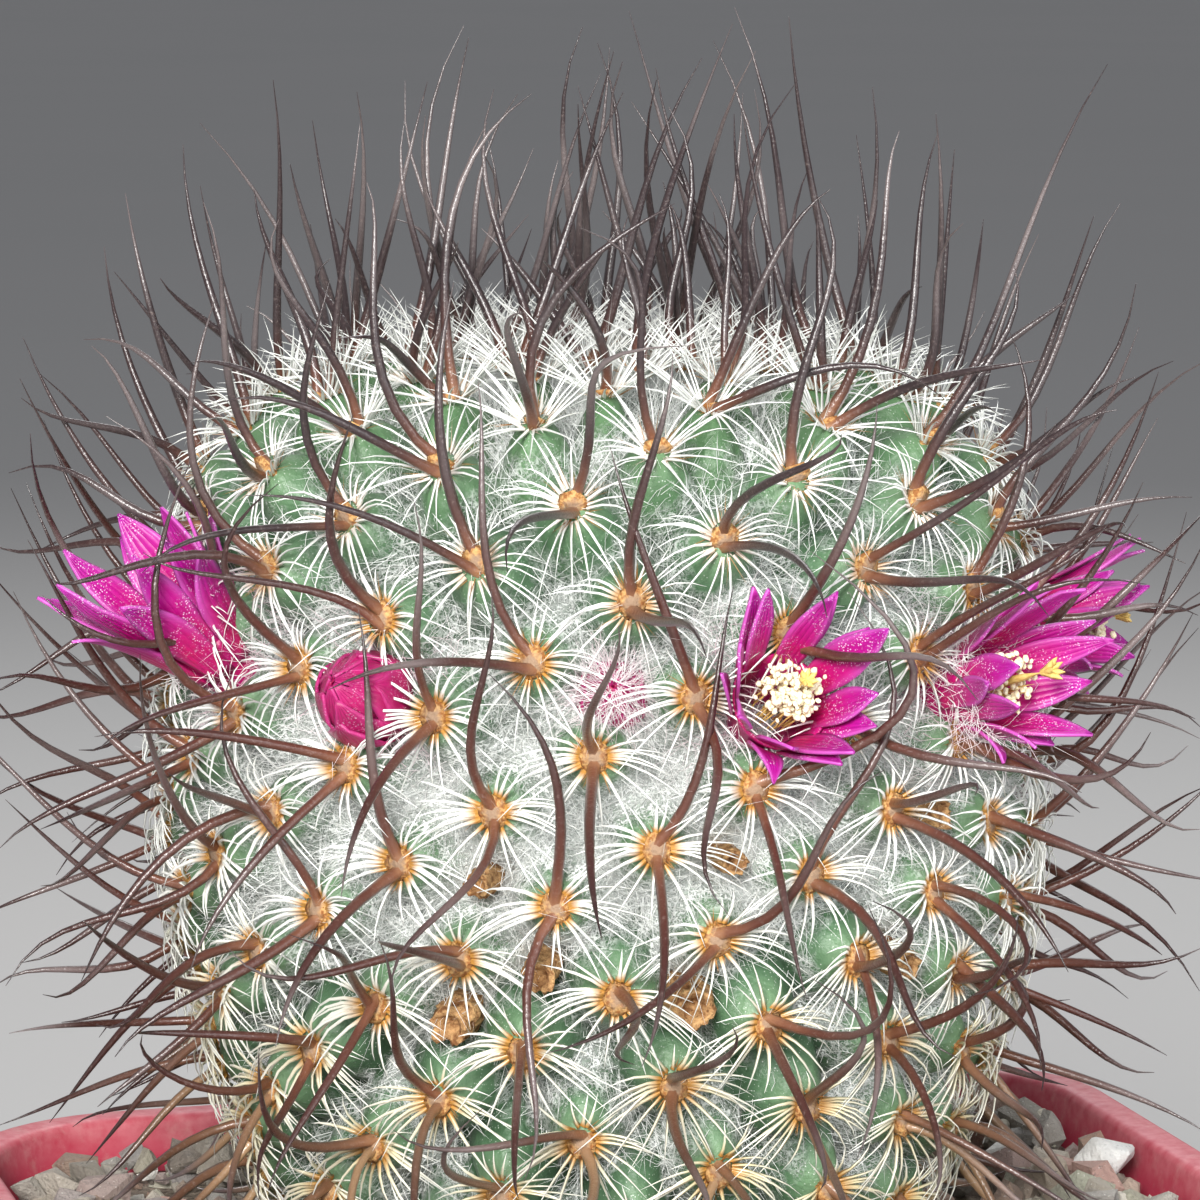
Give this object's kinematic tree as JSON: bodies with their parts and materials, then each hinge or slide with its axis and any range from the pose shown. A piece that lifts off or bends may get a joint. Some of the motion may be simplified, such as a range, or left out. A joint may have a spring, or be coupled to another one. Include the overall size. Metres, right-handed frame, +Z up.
{
  "type": "potted cactus",
  "caption": "Round flowering cactus with long dark curved spines and a ring of magenta flowers, in a square red plastic pot with gravel.",
  "frame": {"origin": "middle of the pot's flat underside", "axes": "+Z up, X and Y along the pot's sides"},
  "size_m": [0.0938, 0.0898, 0.1651],
  "materials": {
    "pot_plastic": "satin",
    "potting_soil": "rough",
    "gravel": "rough",
    "cactus": "satin",
    "petals": "satin",
    "stamens": "matte",
    "bud": "satin",
    "dried_flower": "matte"
  },
  "bodies": {
    "root": {"pot": "pot_plastic", "soil": "potting_soil", "gravel": "gravel", "cactus": "cactus", "flower_1": "petals", "flower_2": "petals", "flower_3": "petals", "flower_4": "petals", "flower_5": "petals", "flower_6": "petals", "flower_1_stamens": "stamens", "flower_2_stamens": "stamens", "flower_3_stamens": "stamens", "flower_4_stamens": "stamens", "flower_5_stamens": "stamens", "flower_6_stamens": "stamens", "bud_1": "bud", "bud_2": "bud", "bud_3": "bud", "bud_4": "bud", "bud_5": "bud", "dried_flower_1": "dried_flower", "dried_flower_2": "dried_flower", "dried_flower_3": "dried_flower", "dried_flower_4": "dried_flower", "dried_flower_5": "dried_flower", "dried_flower_6": "dried_flower", "dried_flower_7": "dried_flower"}
  },
  "joints": []
}
